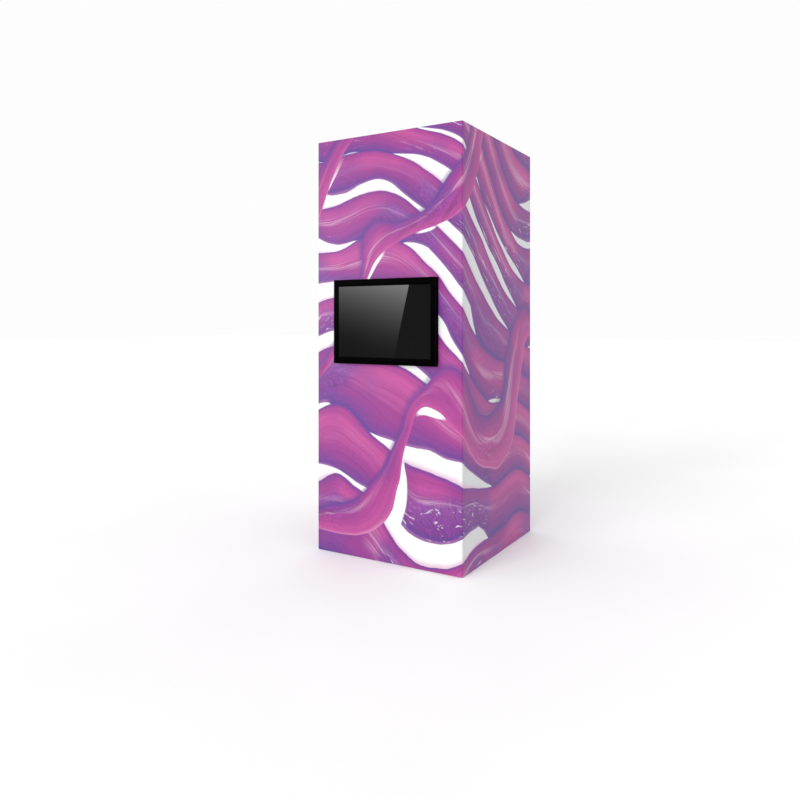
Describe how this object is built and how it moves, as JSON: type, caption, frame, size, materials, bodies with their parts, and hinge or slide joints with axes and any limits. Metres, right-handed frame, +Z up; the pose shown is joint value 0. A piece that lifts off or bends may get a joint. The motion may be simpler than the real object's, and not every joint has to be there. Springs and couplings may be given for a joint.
{
  "type": "backlit display tower",
  "caption": "Square free-standing display tower with a stretched printed fabric skin lit from inside and a tilting wall monitor on its front.",
  "frame": {"origin": "centre of the bounding box on the floor, under the feet", "axes": "+Z up, -Y towards the front with the monitor, +X to the right of someone facing the front"},
  "size_m": [1.2, 1.244, 3],
  "materials": {
    "printed_fabric": "dye printed stretch knit, lit from behind",
    "silicone": "matt translucent silicone strip",
    "anodised_aluminium": "clear anodised extrusion",
    "cast_aluminium": "plain casting",
    "zinc_plated_steel": "zinc plated",
    "black_steel": "black powder coat",
    "cover_sheet": "grey foamed sheet",
    "white_board": "white foamed board",
    "led_bar": "white coated bar with clear lenses",
    "power_supply_case": "bare aluminium case",
    "black_plastic": "black, semi-gloss",
    "grey_plastic": "dark grey, fine texture",
    "screen_glass": "black glossy panel, switched off",
    "cable_sheath": "matt black sheath",
    "foot": "black foot on a plated stud"
  },
  "bodies": {
    "tower": {"base_panel": "white_board", "bottom_corner_front_left": "cast_aluminium", "bottom_corner_front_right": "cast_aluminium", "bottom_corner_rear_left": "cast_aluminium", "bottom_corner_rear_right": "cast_aluminium", "bottom_rail_front": "anodised_aluminium", "bottom_rail_left": "anodised_aluminium", "bottom_rail_rear": "anodised_aluminium", "bottom_rail_right": "anodised_aluminium", "corner_post_front_left": "anodised_aluminium", "corner_post_front_right": "anodised_aluminium", "corner_post_rear_left": "anodised_aluminium", "corner_post_rear_right": "anodised_aluminium", "fabric_wrap": "printed_fabric", "inlet_plate": "black_plastic", "led_bar_front_left": "led_bar", "led_bar_front_right": "led_bar", "led_bar_rear_left": "led_bar", "led_bar_rear_right": "led_bar", "led_wiring": "cable_sheath", "mains_inlet": "black_plastic", "mid_rail_left": "anodised_aluminium", "mid_rail_rear": "anodised_aluminium", "mid_rail_right": "anodised_aluminium", "monitor_crossbar_lower": "anodised_aluminium", "monitor_crossbar_upper": "anodised_aluminium", "mount_bolt_lower_left": "zinc_plated_steel", "mount_bolt_lower_right": "zinc_plated_steel", "mount_bolt_upper_left": "zinc_plated_steel", "mount_bolt_upper_right": "zinc_plated_steel", "power_supply": "power_supply_case", "silicone_edge_bottom": "silicone", "silicone_edge_closing_left": "silicone", "silicone_edge_closing_right": "silicone", "silicone_edge_top": "silicone", "tilt_shaft": "zinc_plated_steel", "top_corner_front_left": "cast_aluminium", "top_corner_front_right": "cast_aluminium", "top_corner_rear_left": "cast_aluminium", "top_corner_rear_right": "cast_aluminium", "top_cover": "cover_sheet", "top_rail_front": "anodised_aluminium", "top_rail_left": "anodised_aluminium", "top_rail_rear": "anodised_aluminium", "top_rail_right": "anodised_aluminium", "wall_plate": "black_steel"},
    "monitor": {"monitor_bezel": "black_plastic", "monitor_screen": "screen_glass", "monitor_chassis": "zinc_plated_steel", "monitor_rear_cover": "black_plastic", "mount_arm_left": "black_steel", "mount_arm_right": "black_steel"},
    "power_button": {"monitor_power_button": "grey_plastic"},
    "menu_button": {"monitor_menu_button": "grey_plastic"},
    "rocker": {"rocker_switch": "grey_plastic"},
    "fuse_holder": {"fuse_drawer": "grey_plastic"},
    "foot_front_left": {"levelling_foot_front_left": "foot"},
    "foot_front_right": {"levelling_foot_front_right": "foot"},
    "foot_rear_left": {"levelling_foot_rear_left": "foot"},
    "foot_rear_right": {"levelling_foot_rear_right": "foot"}
  },
  "joints": [
    {"name": "foot_front_left_height", "type": "slide", "parent": "tower", "child": "foot_front_left", "axis": [0, 0, -1], "range_m": [0, 0.02]},
    {"name": "foot_front_right_height", "type": "slide", "parent": "tower", "child": "foot_front_right", "axis": [0, 0, -1], "range_m": [0, 0.02]},
    {"name": "foot_rear_left_height", "type": "slide", "parent": "tower", "child": "foot_rear_left", "axis": [0, 0, -1], "range_m": [0, 0.02]},
    {"name": "foot_rear_right_height", "type": "slide", "parent": "tower", "child": "foot_rear_right", "axis": [0, 0, -1], "range_m": [0, 0.02]},
    {"name": "monitor_tilt", "type": "hinge", "parent": "tower", "child": "monitor", "pos_m": [0, -0.59375, 1.441], "axis": [1, 0, 0], "range_deg": [0, 12]},
    {"name": "power_button_press", "type": "slide", "parent": "monitor", "child": "power_button", "axis": [0, 0, 1], "range_m": [0, 0.0012], "stiffness_N_per_m": 300},
    {"name": "menu_button_press", "type": "slide", "parent": "monitor", "child": "menu_button", "axis": [0, 0, 1], "range_m": [0, 0.0012], "stiffness_N_per_m": 300},
    {"name": "rocker_flip", "type": "hinge", "parent": "tower", "child": "rocker", "pos_m": [0.3545, 0.613, 0.0364], "axis": [-1, 0, 0], "range_deg": [0, 16]},
    {"name": "fuse_drawer_pull", "type": "slide", "parent": "tower", "child": "fuse_holder", "axis": [0, 1, 0], "range_m": [0, 0.018]}
  ]
}
